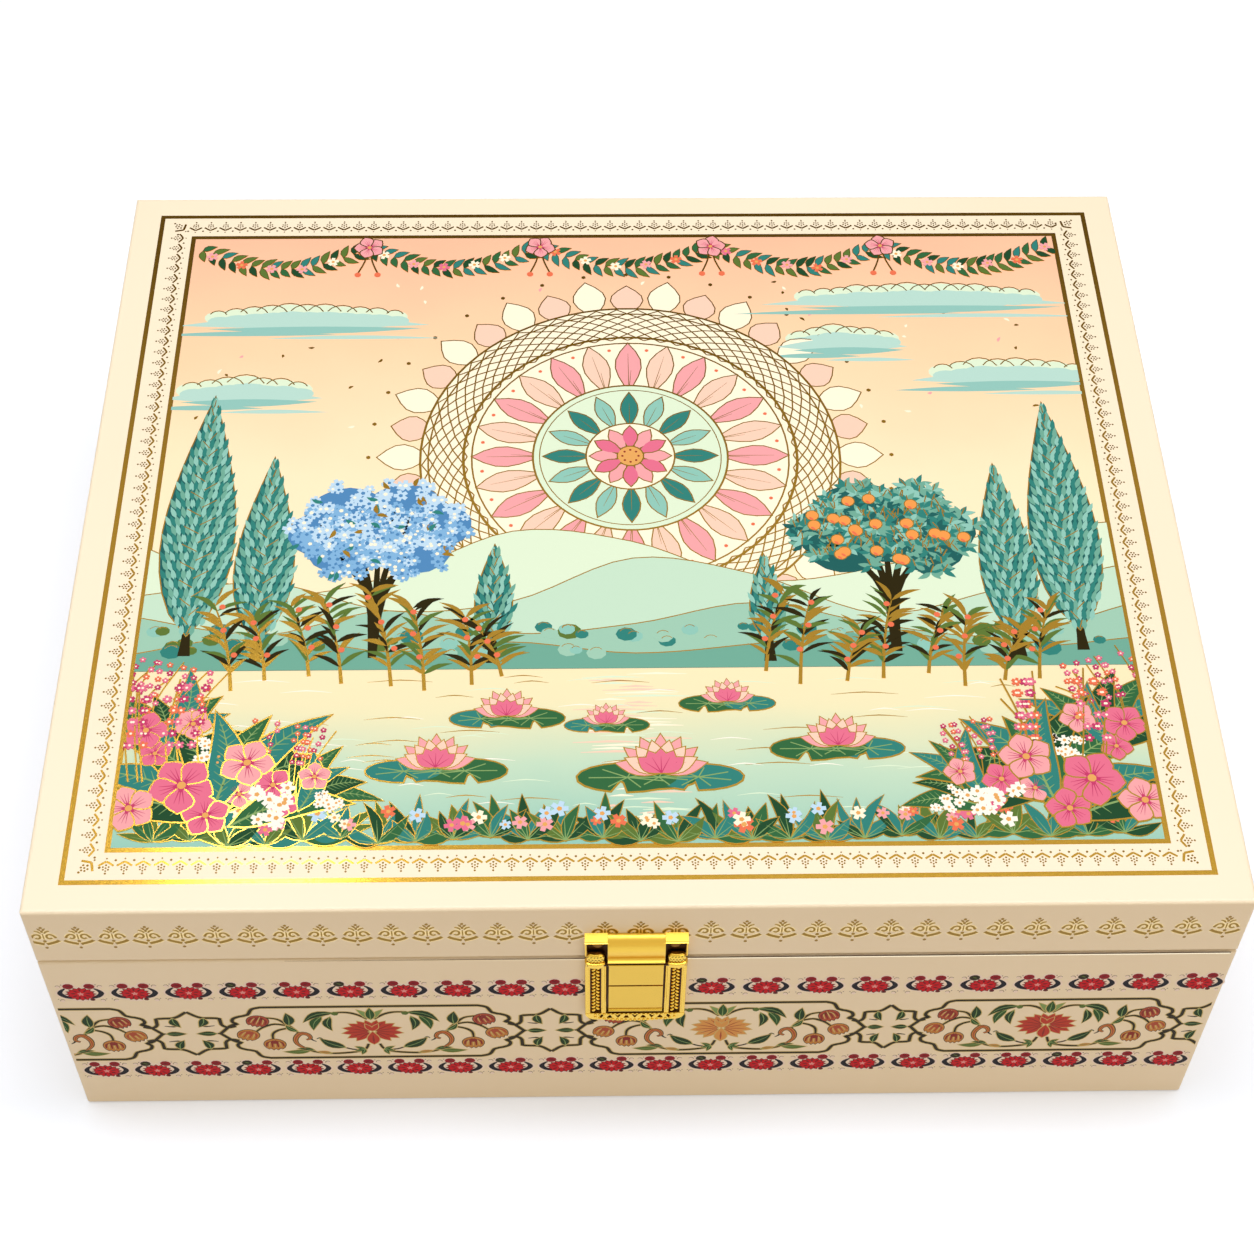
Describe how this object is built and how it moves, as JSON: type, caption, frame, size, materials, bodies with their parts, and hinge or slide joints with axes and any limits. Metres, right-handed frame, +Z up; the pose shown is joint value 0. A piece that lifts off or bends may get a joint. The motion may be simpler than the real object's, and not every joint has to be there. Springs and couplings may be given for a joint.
{
  "type": "jar gift box",
  "caption": "Shallow hinged gift box of board wrapped in printed paper, with a gold flip latch and a holed tray that keeps six glass jars in place.",
  "frame": {"origin": "centre of the bottom face, on the surface that the box stands on", "axes": "+X to the right along the longest side, -Y to the front with the latch, +Z up"},
  "size_m": [0.305, 0.2691, 0.1],
  "materials": {
    "printed_paper": "satin laminated print",
    "plain_paper": "uncoated",
    "lining_paper": "uncoated",
    "board": "medium density fibreboard",
    "tray_card": "paper covered",
    "jar_glass": "clear",
    "cap_gold": "gold lacquer",
    "gold_metal": "polished gold plate"
  },
  "bodies": {
    "base": {"base_bottom_sheet": "plain_paper", "base_bottom_board": "board", "base_front_board": "board", "base_back_board": "board", "base_left_board": "board", "base_right_board": "board", "base_wrap": "printed_paper", "base_floor_lining": "lining_paper", "base_wall_lining": "lining_paper", "jar_tray": "tray_card", "jar_1": "jar_glass", "jar_2": "jar_glass", "jar_3": "jar_glass", "jar_4": "jar_glass", "jar_5": "jar_glass", "jar_6": "jar_glass", "latch_frame": "gold_metal", "latch_frame_nail_upper": "gold_metal", "latch_frame_nail_lower": "gold_metal", "latch_pin": "gold_metal", "hinge_left_base_leaf": "gold_metal", "hinge_left_pin": "gold_metal", "hinge_left_base_screw_1": "gold_metal", "hinge_left_base_screw_2": "gold_metal", "hinge_right_base_leaf": "gold_metal", "hinge_right_pin": "gold_metal", "hinge_right_base_screw_1": "gold_metal", "hinge_right_base_screw_2": "gold_metal"},
    "lid": {"lid_top_board": "board", "lid_front_board": "board", "lid_back_board": "board", "lid_left_board": "board", "lid_right_board": "board", "lid_wrap": "printed_paper", "lid_top_lining": "lining_paper", "lid_wall_lining": "lining_paper", "latch_strike": "gold_metal", "latch_strike_nail_left": "gold_metal", "latch_strike_nail_right": "gold_metal", "hinge_left_lid_leaf": "gold_metal", "hinge_left_lid_screw_1": "gold_metal", "hinge_left_lid_screw_2": "gold_metal", "hinge_right_lid_leaf": "gold_metal", "hinge_right_lid_screw_1": "gold_metal", "hinge_right_lid_screw_2": "gold_metal"},
    "latch_lever": {"latch_lever": "gold_metal"},
    "jar_cap_1": {"jar_cap_1": "cap_gold"},
    "jar_cap_2": {"jar_cap_2": "cap_gold"},
    "jar_cap_3": {"jar_cap_3": "cap_gold"},
    "jar_cap_4": {"jar_cap_4": "cap_gold"},
    "jar_cap_5": {"jar_cap_5": "cap_gold"},
    "jar_cap_6": {"jar_cap_6": "cap_gold"}
  },
  "joints": [
    {"name": "lid_hinge", "type": "hinge", "parent": "base", "child": "lid", "pos_m": [0, 0.1325, 0.0763], "axis": [-1, 0, 0], "range_deg": [0, 100]},
    {"name": "latch_flip", "type": "hinge", "parent": "base", "child": "latch_lever", "pos_m": [-0.001, -0.1326, 0.0774], "axis": [-1, 0, 0], "range_deg": [0, 85]},
    {"name": "jar_cap_1_twist", "type": "hinge", "parent": "base", "child": "jar_cap_1", "pos_m": [-0.09435, -0.0554, 0.085], "axis": [0, 0, 1], "range_deg": [0, 90]},
    {"name": "jar_cap_2_twist", "type": "hinge", "parent": "base", "child": "jar_cap_2", "pos_m": [0, -0.0554, 0.085], "axis": [0, 0, 1], "range_deg": [0, 90]},
    {"name": "jar_cap_3_twist", "type": "hinge", "parent": "base", "child": "jar_cap_3", "pos_m": [0.09435, -0.0554, 0.085], "axis": [0, 0, 1], "range_deg": [0, 90]},
    {"name": "jar_cap_4_twist", "type": "hinge", "parent": "base", "child": "jar_cap_4", "pos_m": [-0.09435, 0.0554, 0.085], "axis": [0, 0, 1], "range_deg": [0, 90]},
    {"name": "jar_cap_5_twist", "type": "hinge", "parent": "base", "child": "jar_cap_5", "pos_m": [0, 0.0554, 0.085], "axis": [0, 0, 1], "range_deg": [0, 90]},
    {"name": "jar_cap_6_twist", "type": "hinge", "parent": "base", "child": "jar_cap_6", "pos_m": [0.09435, 0.0554, 0.085], "axis": [0, 0, 1], "range_deg": [0, 90]}
  ]
}
